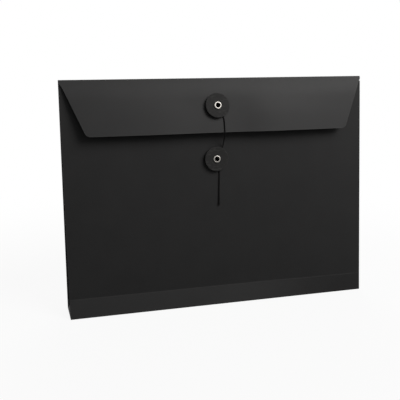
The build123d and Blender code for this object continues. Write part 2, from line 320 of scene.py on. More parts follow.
# The string: its route, then three twisted strands along it
stringSet = {
    "diameter": 1.0,
    "low": 0.62,
    "high": 2.07,
    "turnRadius": 2.87,
    "turnPoints": 12,
    "anchorLead": 4.2,
    "edgeReach": 2.6,
    "strandRadius": 0.31,
    "strandOffset": 0.285,
    "twistPitch": 2.7,
    "step": 0.2,
    "fuzzDensity": 9e5,
    "fuzzLength": 0.55,
    "fuzzRadius": (0.004, 0.016),
    "fuzzTilt": (0.9, 0.9, 3.1),
    "fuzzShortest": 0.45,
    "smoothAngle": 60,
}


# Control points for one clockwise turn under a washer, from the high layer to the low one
def turnPoints(seat):
    count = stringSet["turnPoints"]
    radius = stringSet["turnRadius"] / cos(pi / count)
    drop = stringSet["high"] - stringSet["low"]
    points = []
    for i in range(count):
        angle = (i + 0.5) * 2 * pi / count
        layer = stringSet["high"] - drop * angle / (2 * pi)
        points.append(onSeat(seat, radius * cos(angle), -radius * sin(angle), layer))
    return points


def stringRoute():
    low, high, r = stringSet["low"], stringSet["high"], stringSet["turnRadius"]
    tip = r * tan(pi / stringSet["turnPoints"])
    lead = onSeat(upperSeat, 6.9, -19.5, low)
    edge = onSeat(upperSeat, 6.7, washerSet["upperDrop"] - flapCut["length"], low)
    offEdge = edge + (edge - lead).normalized() * stringSet["edgeReach"] * mm
    points = [onSeat(upperSeat, r, stringSet["anchorLead"], high), onSeat(upperSeat, r, tip, high)]
    points += turnPoints(upperSeat)
    points += [onSeat(upperSeat, r, -tip, low), onSeat(upperSeat, r, -5, low)]
    points += [onSeat(upperSeat, 6.7, -12, low), lead, edge, offEdge]
    points += [onSeat(lowerSeat, 7.4, 16.5, 3.6), onSeat(lowerSeat, 7.7, 13.2, 1.95)]
    points += [onSeat(lowerSeat, r, 5, high), onSeat(lowerSeat, r, tip, high)]
    points += turnPoints(lowerSeat)
    points += [onSeat(lowerSeat, r, -tip, low), onSeat(lowerSeat, r, -6, low)]
    points += [onSeat(lowerSeat, 3.35, -16, low + 0.1), onSeat(lowerSeat, 2.75, -30.5, low + 0.35)]
    points += [onSeat(lowerSeat, 2.4, -45, low + 0.7)]
    return points


def newCurve(name, kind, points):
    curve = bpy.data.curves.new(name, "CURVE")
    curve.dimensions = "3D"
    spline = curve.splines.new(kind)
    spline.points.add(len(points) - 1)
    for point, place in zip(spline.points, points):
        point.co = (*place, 1)
    return curve, spline


# The line of a smooth spline along a route, as a mesh of edges
def splineLine(name, points):
    curve, spline = newCurve(name, "NURBS", points)
    curve.resolution_u = 16
    spline.order_u = 3
    spline.use_endpoint_u = True
    holder = bpy.data.objects.new(name, curve)
    mesh = bpy.data.meshes.new_from_object(holder)
    bpy.data.objects.remove(holder)
    bpy.data.curves.remove(curve)
    return mesh


# Geometry nodes: twisted strands along a line, with short loose fibres
def strandTree():
    inputs = {
        "Line": "Geometry", "Strands": "Int", "Strand Radius": "Float", "Strand Offset": "Float",
        "Twist Pitch": "Float", "Step": "Float", "Fuzz Density": "Float", "Fuzz Length": "Float",
        "Seed": "Int", "Finish": "Material",
    }
    tree, given, result = newTree("twistedStrands", "GeometryNodeTree", inputs, {"Strands": "Geometry"})
    curve = take(tree, "GeometryNodeMeshToCurve", {"Mesh": given["Line"]})
    even = take(tree, "GeometryNodeResampleCurve", {"Curve": curve, "Length": given["Step"]}, mode="LENGTH")
    amount = {"Geometry": even, "Amount": given["Strands"]}
    copies = put(tree, "GeometryNodeDuplicateElements", amount, domain="SPLINE").outputs
    along = put(tree, "GeometryNodeSplineParameter").outputs["Length"]
    turns = calc(tree, "DIVIDE", along, given["Twist Pitch"])
    share = calc(tree, "DIVIDE", copies["Duplicate Index"], given["Strands"])
    angle = calc(tree, "MULTIPLY", calc(tree, "ADD", turns, share), 2 * pi)
    normal = take(tree, "GeometryNodeInputNormal")
    tangent = take(tree, "GeometryNodeInputTangent")
    side = vectorCalc(tree, "CROSS_PRODUCT", tangent, normal)
    first = scaled(tree, normal, calc(tree, "COSINE", angle))
    second = scaled(tree, side, calc(tree, "SINE", angle))
    offset = scaled(tree, vectorCalc(tree, "ADD", first, second), given["Strand Offset"])
    moved = take(tree, "GeometryNodeSetPosition", {"Geometry": copies["Geometry"], "Offset": offset})
    ring = take(tree, "GeometryNodeCurvePrimitiveCircle", {"Resolution": 8, "Radius": given["Strand Radius"]})
    tube = take(tree, "GeometryNodeCurveToMesh", {"Curve": moved, "Profile Curve": ring, "Fill Caps": True})
    seed = given["Seed"]
    scatter = {"Mesh": tube, "Density": given["Fuzz Density"], "Seed": seed}
    spots = put(tree, "GeometryNodeDistributePointsOnFaces", scatter, distribute_method="RANDOM").outputs
    tip, root = stringSet["fuzzRadius"]
    cone = {
        "Vertices": 4, "Side Segments": 1, "Fill Segments": 1,
        "Radius Top": tip * mm, "Radius Bottom": root * mm, "Depth": given["Fuzz Length"],
    }
    fibre = take(tree, "GeometryNodeMeshCone", cone)
    most = stringSet["fuzzTilt"]
    tilts = {0: tuple(-angle for angle in most), 1: most, "Seed": seed}
    tilt = take(tree, "FunctionNodeRandomValue", tilts, data_type="FLOAT_VECTOR")
    turn = {"Rotation": spots["Rotation"], "Rotate By": tilt}
    turned = take(tree, "FunctionNodeRotateRotation", turn, rotation_space="LOCAL")
    lengths = {2: stringSet["fuzzShortest"], 3: 1.0, "Seed": seed}
    size = put(tree, "FunctionNodeRandomValue", lengths, data_type="FLOAT").outputs[1]
    placed = {"Points": spots["Points"], "Instance": fibre, "Rotation": turned, "Scale": size}
    fibres = take(tree, "GeometryNodeInstanceOnPoints", placed)
    both = put(tree, "GeometryNodeJoinGeometry")
    tree.links.new(fibres, both.inputs[0])
    tree.links.new(tube, both.inputs[0])
    endTree(tree, both.outputs[0], given["Finish"], result)
    return tree


twistedStrands = strandTree()


def twistString(name, line, scale=1.0, pitch=stringSet["twistPitch"], seed=4):
    thing = newObject(name, line)
    values = {
        "Strands": 3,
        "Strand Radius": stringSet["strandRadius"] * scale * mm,
        "Strand Offset": stringSet["strandOffset"] * scale * mm,
        "Twist Pitch": pitch * mm,
        "Step": stringSet["step"] * mm,
        "Fuzz Density": stringSet["fuzzDensity"],
        "Fuzz Length": stringSet["fuzzLength"] * mm,
        "Seed": seed,
        "Finish": blackString,
    }
    growMesh(thing, twistedStrands, values)
    smoothFaces(thing, stringSet["smoothAngle"])
    return thing


# Shader groups, shared by the finishes
fibreSet = {
    "longStretch": (0.3, 1.0, 1.0),
    "tallStretch": (1.0, 0.6, 0.35),
    "cloudDetail": 4.0,
    "fibreDetail": 3.0,
    "fleckDetail": 1.0,
    "fleckScale": 0.4,
    "fleckSoftness": 0.06,
    "midRange": (0.3, 0.7),
}
wearSet = {"patchDetail": 3.0, "patchRange": (0.3, 0.7), "patchShare": (0.35, 1.0)}


def paperFibreGroup():
    inputs = {"Vector": "Vector", "Fibre Scale": "Float", "Cloud Scale": "Float", "Fleck Share": "Float"}
    outputs = {"Cloud": "Float", "Fibre": "Float", "Fleck": "Float"}
    tree, given, result = newTree("paperFibre", "ShaderNodeTree", inputs, outputs)
    place, fibreScale = given["Vector"], given["Fibre Scale"]
    long = take(tree, "ShaderNodeMapping", {"Vector": place, "Scale": fibreSet["longStretch"]})
    tall = take(tree, "ShaderNodeMapping", {"Vector": place, "Scale": fibreSet["tallStretch"]})
    cloud = noiseOf(tree, place, given["Cloud Scale"], fibreSet["cloudDetail"])
    crossed = [noiseOf(tree, way, fibreScale, fibreSet["fibreDetail"]) for way in (long, tall)]
    fleckScale = calc(tree, "MULTIPLY", fibreScale, fibreSet["fleckScale"])
    speck = noiseOf(tree, long, fleckScale, fibreSet["fleckDetail"])
    edge = calc(tree, "SUBTRACT", 1.0, given["Fleck Share"])
    fleck = spread(tree, speck, 0.0, 1.0, edge, calc(tree, "ADD", edge, fibreSet["fleckSoftness"]))
    tree.links.new(cloud, result["Cloud"])
    tree.links.new(calc(tree, "MULTIPLY", calc(tree, "ADD", *crossed), 0.5), result["Fibre"])
    tree.links.new(fleck, result["Fleck"])
    return tree


def edgeWearGroup():
    inputs = {"Vector": "Vector", "Distance": "Float", "Reach": "Float", "Patch Scale": "Float"}
    tree, given, result = newTree("edgeWear", "ShaderNodeTree", inputs, {"Wear": "Float"})
    near = ease(tree, given["Distance"], 1.0, 0.0, 0.0, given["Reach"])
    patch = noiseOf(tree, given["Vector"], given["Patch Scale"], wearSet["patchDetail"])
    share = spread(tree, patch, *wearSet["patchShare"], *wearSet["patchRange"])
    tree.links.new(calc(tree, "MULTIPLY", near, share), result["Wear"])
    return tree


paperFibre = paperFibreGroup()
edgeWear = edgeWearGroup()


def newFinish(name):
    finish = bpy.data.materials.new(name)
    finish.use_nodes = True
    tree = finish.node_tree
    tree.nodes.clear()
    surface = put(tree, "ShaderNodeBsdfPrincipled")
    put(tree, "ShaderNodeOutputMaterial", {"Surface": surface.outputs[0]})
    return finish, tree, surface.inputs


def objectPlace(tree):
    return put(tree, "ShaderNodeTexCoord").outputs["Object"]


def edgeDistance(tree):
    return put(tree, "ShaderNodeAttribute", attribute_name="cutEdge").outputs["Fac"]


def addBump(tree, surface, height, strength, depth):
    bump = take(tree, "ShaderNodeBump", {"Strength": strength, "Distance": depth * mm, "Height": height})
    tree.links.new(bump, surface["Normal"])


# Black card: matte, fine fibre, a little lighter where its edges and creases are handled
cardLook = {
    "dark": (0.0128, 0.0128, 0.0132, 1),
    "light": (0.0163, 0.0162, 0.0165, 1),
    "strand": (0.041, 0.0405, 0.0405, 1),
    "worn": (0.041, 0.0405, 0.0405, 1),
    "strandMask": ("Fibre", 0.35, 0.35, 0.7),
    "fibreScale": 2600.0,
    "cloudScale": 38.0,
    "fleckShare": 0.3,
    "wearReach": 0.9,
    "wearScale": 160.0,
    "wearShare": 1.0,
    "rough": (0.48, 0.64),
    "specular": 0.4,
    "bump": (0.35, 0.03),
}
cutLook = {
    **cardLook,
    "dark": (0.045, 0.044, 0.044, 1),
    "light": (0.06, 0.059, 0.058, 1),
    "strand": (0.09, 0.088, 0.086, 1),
    "worn": (0.09, 0.088, 0.086, 1),
    "rough": (0.77, 0.93),
}
backingLook = {
    **cardLook,
    "dark": (0.022, 0.022, 0.022, 1),
    "light": (0.03, 0.03, 0.03, 1),
    "strand": (0.06, 0.06, 0.06, 1),
    "worn": (0.06, 0.06, 0.06, 1),
    "rough": (0.72, 0.88),
}
# Pressed fibre board, coarser than the card, with short pale fibres
boardLook = {
    "dark": (0.0225, 0.0222, 0.022, 1),
    "light": (0.0295, 0.029, 0.0285, 1),
    "strand": (0.075, 0.074, 0.072, 1),
    "worn": (0.06, 0.0595, 0.058, 1),
    "strandMask": ("Fleck", 0.3, 0.0, 1.0),
    "fibreScale": 1500.0,
    "cloudScale": 120.0,
    "fleckShare": 0.42,
    "wearReach": 0.7,
    "wearScale": 420.0,
    "wearShare": 0.4,
    "rough": (0.6, 0.82),
    "specular": 0.3,
    "bump": (0.5, 0.05),
}
# Black cotton string: dark in the lay of the strands, paler on single fibres
stringLook = {
    "dark": (0.006, 0.006, 0.0065, 1),
    "light": (0.011, 0.011, 0.011, 1),
    "strand": (0.03, 0.03, 0.03, 1),
    "strandMask": ("Fibre", 0.3, 0.0, 1.0),
    "fibreScale": 5200.0,
    "cloudScale": 300.0,
    "fleckShare": 0.35,
    "rough": (0.7, 0.95),
    "specular": 0.1,
    "sheen": (0.04, 0.5),
    "bump": (0.5, 0.04),
}


# Card, board and string are built alike: a cloudy body, paler strands in it, and rubbed edges on a sheet
def fibreFinish(name, look):
    finish, tree, surface = newFinish(name)
    place = objectPlace(tree)
    scales = {
        "Vector": place, "Fibre Scale": look["fibreScale"],
        "Cloud Scale": look["cloudScale"], "Fleck Share": look["fleckShare"],
    }
    fibre = put(tree, "ShaderNodeGroup", scales, node_tree=paperFibre).outputs
    middle = fibreSet["midRange"]
    colour = mixColour(tree, spread(tree, fibre["Cloud"], 0.0, 1.0, *middle), look["dark"], look["light"])
    mask, share, *shown = look["strandMask"]
    colour = mixColour(tree, spread(tree, fibre[mask], 0.0, share, *shown), colour, look["strand"])
    if "worn" in look:
        sizes = {
            "Vector": place, "Distance": edgeDistance(tree),
            "Reach": look["wearReach"] * mm, "Patch Scale": look["wearScale"],
        }
        wear = take(tree, "ShaderNodeGroup", sizes, node_tree=edgeWear)
        colour = mixColour(tree, calc(tree, "MULTIPLY", wear, look["wearShare"]), colour, look["worn"])
    tree.links.new(colour, surface["Base Color"])
    tree.links.new(spread(tree, fibre["Fibre"], *look["rough"], *middle), surface["Roughness"])
    surface["Specular IOR Level"].default_value = look["specular"]
    if "sheen" in look:
        surface["Sheen Weight"].default_value, surface["Sheen Roughness"].default_value = look["sheen"]
    addBump(tree, surface, fibre["Fibre"], *look["bump"])
    return finish


blackCard = fibreFinish("blackCard", cardLook)
cutEdge = fibreFinish("cutEdge", cutLook)
backingPaper = fibreFinish("backingPaper", backingLook)
fibreBoard = fibreFinish("fibreBoard", boardLook)
blackString = fibreFinish("blackString", stringLook)

# Nickel plate: bright, a little warm, with fine turning marks and dull spots, and painted shade that darkens
# it down the bore
nickelLook = {
    "dull": (0.72, 0.69, 0.64, 1),
    "bright": (0.82, 0.79, 0.75, 1),
    # painted shade: the near-black colour the bore takes below its lip
    "boreShade": (0.016, 0.015, 0.014, 1),
    "boreShadeFrom": 0.05,
    "boreShadeTo": 0.3,
    "dullScale": 900.0,
    "dullDetail": 4.0,
    "dullRange": (0.35, 0.7),
    "markScale": 5200.0,
    "markDetail": 2.0,
    "markStretch": (1.0, 0.12, 1.0),
    "rough": (0.42, 0.58),
    "roughRange": (0.3, 0.75),
    "bump": (0.12, 0.02),
}


def nickelFinish(look):
    finish, tree, surface = newFinish("nickelPlate")
    place = objectPlace(tree)
    dull = noiseOf(tree, place, look["dullScale"], look["dullDetail"])
    stretched = take(tree, "ShaderNodeMapping", {"Vector": place, "Scale": look["markStretch"]})
    marks = noiseOf(tree, stretched, look["markScale"], look["markDetail"])
    tone = mixColour(tree, spread(tree, dull, 0.0, 1.0, *look["dullRange"]), look["dull"], look["bright"])
    # painted shade down the bore, by how far below the eyelet's top a point lies
    boreShadeMask = spread(tree, edgeDistance(tree), 0.0, 1.0, look["boreShadeFrom"] * mm, look["boreShadeTo"] * mm)
    tree.links.new(mixColour(tree, boreShadeMask, tone, look["boreShade"]), surface["Base Color"])
    tree.links.new(spread(tree, dull, *look["rough"], *look["roughRange"]), surface["Roughness"])
    surface["Metallic"].default_value = 1.0
    addBump(tree, surface, marks, *look["bump"])
    return finish


nickelPlate = nickelFinish(nickelLook)
print("finishes ready")

# The string itself, from the anchor under the upper washer to the knot at its free end
routeLine = splineLine("stringLine", stringRoute())
linePoints = [tuple(v.co) for v in routeLine.vertices]
cord = twistString("string", routeLine)
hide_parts("string_anchor", "string_upper_span", "string_lower_span", "string_winding", "string_tail")
overEdge = (0, flapEdge[0] * mm, flapEdge[1] * mm + 0.0002)
underEdge = (0, flapEdge[0] * mm, flapEdge[1] * mm - 0.0018)
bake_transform(cord, "flap", "string", start=overEdge, end=underEdge)

knotSet = {
    "anchorLength": 2.4,
    "anchorHeight": 1.57,
    "anchorSeed": 7,
    "endLength": 2.6,
    "endStub": 1.2,
    "endSeed": 9,
    "wraps": 2.25,
    "wrapPoints": 12,
    "wrapRadius": 0.66,
    "wrapScale": 0.76,
    "coreScale": 0.86,
    "twistPitch": 1.9,
    "inset": 0.42,
    "tuck": 0.2,
    "overlap": 0.3,
}


def joinPieces(name, things):
    made = bmesh.new()
    for thing in things:
        old = thing.data
        made.from_mesh(old)
        bpy.data.objects.remove(thing)
        bpy.data.meshes.remove(old)
    for face in made.faces:
        face.material_index = 0
    joined = meshObject(name, made, blackString)
    smoothFaces(joined, stringSet["smoothAngle"])
    return joined


# A stopper knot: the string runs on through two wraps of itself
def tieKnot(name, start, way, length, stub, seed):
    across = way.cross(Vector((1, 0, 0))).normalized()
    over = way.cross(across).normalized()
    count = int(knotSet["wraps"] * knotSet["wrapPoints"])
    tuck = knotSet["tuck"]
    first = knotSet["inset"]
    last = length - first
    wrap = [start + (way * (first - tuck) + across * tuck) * mm]
    for i in range(count + 1):
        angle = 2 * pi * i / knotSet["wrapPoints"]
        rise = first + (last - first) * i / count
        swing = across * cos(angle) + over * sin(angle)
        wrap.append(start + (way * rise + swing * knotSet["wrapRadius"]) * mm)
    wrap.append(start + (way * (last + tuck) - over * tuck / 2) * mm)
    core = [start + way * run * mm for run in (-knotSet["overlap"], length / 2, length + stub)]
    pieces = []
    for part, points in (("wrap", wrap), ("core", core)):
        label = name + part.title()
        line = splineLine(label, points)
        pieces.append(twistString(label, line, knotSet[part + "Scale"], knotSet["twistPitch"], seed))
    return joinPieces(name, pieces)


anchorStart = onSeat(upperSeat, stringSet["turnRadius"], stringSet["anchorLead"], knotSet["anchorHeight"])
anchorWay, anchorLength = upperSeat["up"], knotSet["anchorLength"]
anchorKnot = tieKnot("anchorKnot", anchorStart, anchorWay, anchorLength, 0.0, knotSet["anchorSeed"])
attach(anchorKnot, "flap")
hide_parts("string_anchor_knot")
tailEnd = Vector(linePoints[-1])
tailWay = (tailEnd - Vector(linePoints[-2])).normalized()
endKnot = tieKnot("endKnot", tailEnd, tailWay, knotSet["endLength"], knotSet["endStub"], knotSet["endSeed"])
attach(endKnot, "string")
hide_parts("string_end_knot")
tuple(linePoints[0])
print("string made:", len(cord.data.polygons), "faces")


# Geometry nodes: a flat blank, X across and Y along, folded up a section line
def foldTree():
    inputs = {
        "Blank": "Geometry", "Section": "Object", "Finish": "Material",
        "Warp Depth": "Float", "Warp Scale": "Float", "Warp Seed": "Float",
    }
    tree, given, result = newTree("foldCard", "GeometryNodeTree", inputs, {"Folded": "Geometry"})
    info = put(tree, "GeometryNodeObjectInfo", {"Object": given["Section"]}, transform_space="ORIGINAL")
    place = take(tree, "GeometryNodeInputPosition")
    parts = put(tree, "ShaderNodeSeparateXYZ", {0: place}).outputs
    section = put(tree, "GeometryNodeSampleCurve", {"Curves": info.outputs["Geometry"]}, mode="LENGTH")
    tree.links.new(parts[1], section.inputs["Length"])
    across = take(tree, "ShaderNodeCombineXYZ", {0: parts[0]})
    folded = vectorCalc(tree, "ADD", section.outputs["Position"], across)
    out = vectorCalc(tree, "CROSS_PRODUCT", section.outputs["Tangent"], (1.0, 0.0, 0.0))
    wave = {"Vector": place, "W": given["Warp Seed"], "Scale": given["Warp Scale"], "Detail": 1.0}
    noise = take(tree, "ShaderNodeTexNoise", wave, noise_dimensions="4D")
    give = take(tree, "GeometryNodeInputNamedAttribute", {"Name": "give"}, data_type="FLOAT")
    sprung = take(tree, "GeometryNodeInputNamedAttribute", {"Name": "ease"}, data_type="FLOAT")
    forward = take(tree, "ShaderNodeCombineXYZ", {1: calc(tree, "MULTIPLY", sprung, -1.0)})
    swell = calc(tree, "MULTIPLY", calc(tree, "SUBTRACT", noise, 0.5), given["Warp Depth"])
    warped = scaled(tree, out, calc(tree, "MULTIPLY", swell, give))
    offset = vectorCalc(tree, "ADD", warped, forward)
    moves = {"Geometry": given["Blank"], "Position": folded, "Offset": offset}
    endTree(tree, take(tree, "GeometryNodeSetPosition", moves), given["Finish"], result)
    return tree


foldCard = foldTree()


def lengthsOf(points):
    runs = [0.0]
    for (y0, z0), (y1, z1) in zip(points, points[1:]):
        runs.append(runs[-1] + hypot(y1 - y0, z1 - z0))
    return runs


# Points round an arc, from one angle to another, about a centre
def arcPoints(centre, radius, start, end, count):
    angles = [start + (end - start) * i / (count - 1) for i in range(count)]
    return [(centre[0] + radius * cos(a), centre[1] + radius * sin(a)) for a in angles]


def straight(start, end, count):
    return [tuple(a + (b - a) * i / count for a, b in zip(start, end)) for i in range(1, count + 1)]


# The flat blank: rows at runs, columns across, with a round eyelet hole in a small ring of faces
blankGrid = {
    "columns": (160, 159.6, 159, 158, 155, 150, 143, 134, 124, 112, 100, 88, 76, 64, 52, 40, 30, 20),
    "nearWasher": (-13.0, 5.0, 11.0),
    "holeSteps": (-4, -2, 0, 2, 4),
    "holeRadius": 2.29,
    "straightHalf": 24.0,
}


def cutBlank(name, rows, halfAt, holeRun, creases, giveAt, easeAt):
    holeX = washerSet["x"]
    inner = blankGrid["straightHalf"]
    steps = blankGrid["holeSteps"]
    columns = list(blankGrid["columns"]) + [-c for c in blankGrid["columns"]]
    xs = sorted(columns + list(blankGrid["nearWasher"]) + [holeX + s for s in steps])
    lines = (rows[0], rows[-1], *creases)
    made = bmesh.new()
    cutLayer, giveLayer, runLayer, easeLayer = addLayers(made, "cutEdge", "give", "run", "ease")
    grid = {}

    def addPoint(x, run, half):
        vert = made.verts.new((x * mm, run * mm, 0))
        vert[cutLayer] = min([half - abs(x)] + [abs(run - line) for line in lines]) * mm
        vert[giveLayer] = giveAt(x, run)
        vert[runLayer] = run
        vert[easeLayer] = easeAt(x, run) * mm
        return vert

    for j, run in enumerate(rows):
        half = halfAt(run)
        for i, x in enumerate(xs):
            away = abs(x)
            if away > inner:
                away = inner + (away - inner) * (half - inner) / (halfWidth - inner)
            grid[i, j] = addPoint(away if x > 0 else -away, run, half)
    reach = steps[-1] + 0.01
    near = [i for i, x in enumerate(xs) if abs(x - holeX) <= reach]
    level = [j for j, run in enumerate(rows) if abs(run - holeRun) <= reach]
    for j in range(len(rows) - 1):
        for i in range(len(xs) - 1):
            if i in near[:-1] and j in level[:-1]:
                continue
            made.faces.new((grid[i, j], grid[i + 1, j], grid[i + 1, j + 1], grid[i, j + 1]))
    loop = [(i, level[0]) for i in near] + [(near[-1], j) for j in level[1:]]
    loop += [(i, level[-1]) for i in near[-2::-1]] + [(near[0], j) for j in level[-2:0:-1]]
    rim = []
    for key in loop:
        x, run = grid[key].co.x / mm - holeX, grid[key].co.y / mm - holeRun
        scale = blankGrid["holeRadius"] / hypot(x, run)
        rim.append(addPoint(holeX + x * scale, holeRun + run * scale, halfWidth))
    for k in range(len(loop)):
        n = (k + 1) % len(loop)
        made.faces.new((grid[loop[k]], grid[loop[n]], rim[n], rim[k]))
    for vert in [v for v in made.verts if not v.link_faces]:
        made.verts.remove(vert)
    bmesh.ops.recalc_face_normals(made, faces=made.faces)
    flat = made.loops.layers.uv.new("flatCut")
    for face in made.faces:
        for corner in face.loops:
            corner[flat].uv = (corner.vert.co.x, corner.vert.co.y)
    return meshObject(name, made, blackCard)


# The card's thickness, with its edges slightly rounded
sheetSet = {"edgeRound": 0.1, "edgeAngle": 60, "smoothAngle": 35}


def thickenCard(thing):
    thing.data.materials.clear()
    thing.data.materials.append(blackCard)
    thing.data.materials.append(cutEdge)
    wall = thing.modifiers.new("thickness", "SOLIDIFY")
    wall.thickness = envelope["card"] * mm
    wall.offset = 0
    wall.material_offset_rim = 1
    soft = thing.modifiers.new("softEdge", "BEVEL")
    soft.width = sheetSet["edgeRound"] * mm
    soft.segments = 2
    soft.limit_method = "ANGLE"
    soft.angle_limit = radians(sheetSet["edgeAngle"])
    settle(thing)
    smoothFaces(thing, sheetSet["smoothAngle"])


# Fold a blank along its section, a line in the YZ plane, then give the card its thickness
def foldBlank(thing, points, warp):
    curve, _ = newCurve(thing.name + "Section", "POLY", [(0, y * mm, z * mm) for y, z in points])
    section = newObject(curve.name, curve)
    values = {
        "Section": section,
        "Warp Depth": warp["depth"] * mm,
        "Warp Scale": warp["scale"],
        "Warp Seed": warp["seed"],
        "Finish": blackCard,
    }
    growMesh(thing, foldCard, values)
    bpy.data.objects.remove(section)
    thickenCard(thing)


def pointValues(thing, name):
    values = np.zeros(len(thing.data.vertices), np.float32)
    thing.data.attributes[name].data.foreach_get("value", values)
    return values


def setBlend(thing, values):
    thing.data.attributes["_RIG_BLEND"].data.foreach_set("value", np.asarray(values, np.float32))


# Back and flap are one sheet: up the back, over the top crease and down the flap
flapWarp = {
    "depth": 1.1,
    "scale": 11.0,
    "seed": 3.0,
    "sideFade": (160, 136),
    "endFade": 30,
    "stringFade": (17, 45),
    "rootFade": 14,
    "flapShare": 0.7,
}
# The string draws the flap in at its middle, and it springs out on both sides
flapBow = {"left": 1.1, "right": 2.2, "held": 18, "crest": 58, "settle": 0.95, "growth": 40}


def backFlapSection():
    crestRadius = flapCut["crestRadius"]
    crest = arcPoints((foldY, foldZ - crestRadius), crestRadius, backLean, pi - rootLean, 9)
    back = [(rearY, 0.0)] + straight((rearY, 0.0), crest[0], 12)
    points = back[:-1] + crest
    start = rootPoint(rootLean)
    lift = (crest[-1][0] - start[0], crest[-1][1] - start[1])
    rootSteps = 14
    for i in range(1, rootSteps + 1):
        t = i / rootSteps
        y, z = rootPoint(rootLean + (flapLean - rootLean) * t)
        points.append((y + lift[0] * (1 - t), z + lift[1] * (1 - t)))
    points += straight(flapPoint(flapCut["rootLength"], 0), flapPoint(flapCut["length"], 0), 6)
    backRun = lengthsOf(back)[-1]
    return points, backRun, backRun + lengthsOf(crest)[-1], lengthsOf(points)[-1]


def makeBackFlap():
    points, backRun, flapRun, total = backFlapSection()
    slant = atan2(flapCut["sideInset"], total - flapRun)
    radius = flapCut["cornerRadius"]
    cornerX = halfWidth - flapCut["sideInset"] + radius * tan(slant) - radius / cos(slant)
    washerRun = total - (flapCut["length"] - washerSet["upperDrop"])

    # the slanted sides start with a small shoulder and end in round corners
    def halfAt(run):
        if run <= flapRun:
            return halfWidth
        left = total - run
        if left < radius * (1 - sin(slant)):
            return cornerX + sqrt(max(radius**2 - (radius - left) ** 2, 0))
        inset = (run - flapRun) * tan(slant)
        return halfWidth - inset * float(smoothStep(*flapCut["shoulder"], run - flapRun))

    def giveAt(x, run):
        fade = flapWarp["endFade"]
        if run <= flapRun:
            side = smoothStep(*flapWarp["sideFade"], abs(x))
            return side * smoothStep(0, fade, run) * smoothStep(backRun, backRun - fade, run)
        string = smoothStep(*flapWarp["stringFade"], abs(x - washerSet["x"]))
        return float(string * smoothStep(0, flapWarp["rootFade"], run - flapRun)) * flapWarp["flapShare"]

    def easeAt(x, run):
        away = x - washerSet["x"]
        spring = flapBow["right"] if away > 0 else flapBow["left"]
        drawn = smoothStep(flapBow["held"], flapBow["crest"], abs(away))
        settled = 1 - flapBow["settle"] * smoothStep(flapBow["crest"], halfWidth, abs(away))
        return float(spring * drawn * settled * smoothStep(0, flapBow["growth"], run - flapRun))

    rows = [0, 0.5, 1.2, 2.5, 6, 14, 24] + list(np.linspace(36, backRun - 24, 14))
    rows += [backRun - d for d in (14, 6, 2.5, 1.2, 0.5)]
    rows += list(np.linspace(backRun, flapRun, 9))
    rows += [flapRun + d for d in (0.5, 1.2, 2.5, 4.5, 7, 9.5, 12, 14.5, 17, 19.5, 22)]
    rows += [washerRun + d for d in (*blankGrid["holeSteps"], 7.5, 11.5, 15.5)]
    rows += [total - radius + radius * cos(radians(a)) for a in (67.5, 60, 52, 44, 36, 28, 20, 12, 5, 0)]
    sheet = cutBlank("backAndFlap", rows, halfAt, washerRun, (flapRun,), giveAt, easeAt)
    foldBlank(sheet, points, flapWarp)
    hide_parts("back_panel", "flap")
    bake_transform(sheet, "pouch", "flap", start=(0, foldY * mm, 0.23), end=(0, foldY * mm - 0.01, 0.23))
    setBlend(sheet, smoothStep(backRun, flapRun, pointValues(sheet, "run")))
    return sheet


backFlap = makeBackFlap()
print("back and flap made:", len(backFlap.data.polygons), "faces")

# Front, band, base and rear tab are one sheet too, from the mouth down and under
frontSet = {
    "creaseTurn": 1.2,
    "toeRadius": 0.45,
    "heelRadius": 0.35,
    "tabTop": 15.0,
    "tabRun": 14.6,
    "tabHalf": 144.5,
    "glueGap": 0.02,
}
frontWarp = {
    "depth": 0.9,
    "scale": 10.0,
    "seed": 8.0,
    "sideFade": (148, 120),
    "endFade": 30,
    "stringFade": (18, 46),
    "stringReach": 55,
}


def frontSection():
    reach = frontSet["creaseTurn"] * tan((frontLean + bandLean) / 2)
    top = (mouthY, mouthZ)
    below = (creaseY - reach * sin(bandLean), creaseZ - reach * cos(bandLean))
    points = [top] + straight(top, frontPoint(reach, 0), 8) + [below]
    toeRadius = frontSet["toeRadius"]
    footRun = (creaseZ - halfCard - toeRadius) / cos(bandLean)
    toeY = creaseY - footRun * sin(bandLean) + toeRadius * cos(bandLean)
    toe = arcPoints((toeY, halfCard + toeRadius), toeRadius, pi - bandLean, 1.5 * pi, 7)
    points += straight(below, toe[0], 4) + toe[1:]
    heelRadius = frontSet["heelRadius"]
    heelY = backInnerY(0.5) - halfCard - frontSet["glueGap"]
    heel = arcPoints((heelY - heelRadius, halfCard + heelRadius), heelRadius, -pi / 2, 0, 6)
    points += straight(toe[-1], heel[0], 6) + heel[1:]
    tabTop = frontSet["tabTop"]
    tabY = backInnerY(tabTop) - halfCard / cos(backLean) - frontSet["glueGap"]
    return points + straight(heel[-1], (tabY, tabTop), 3)


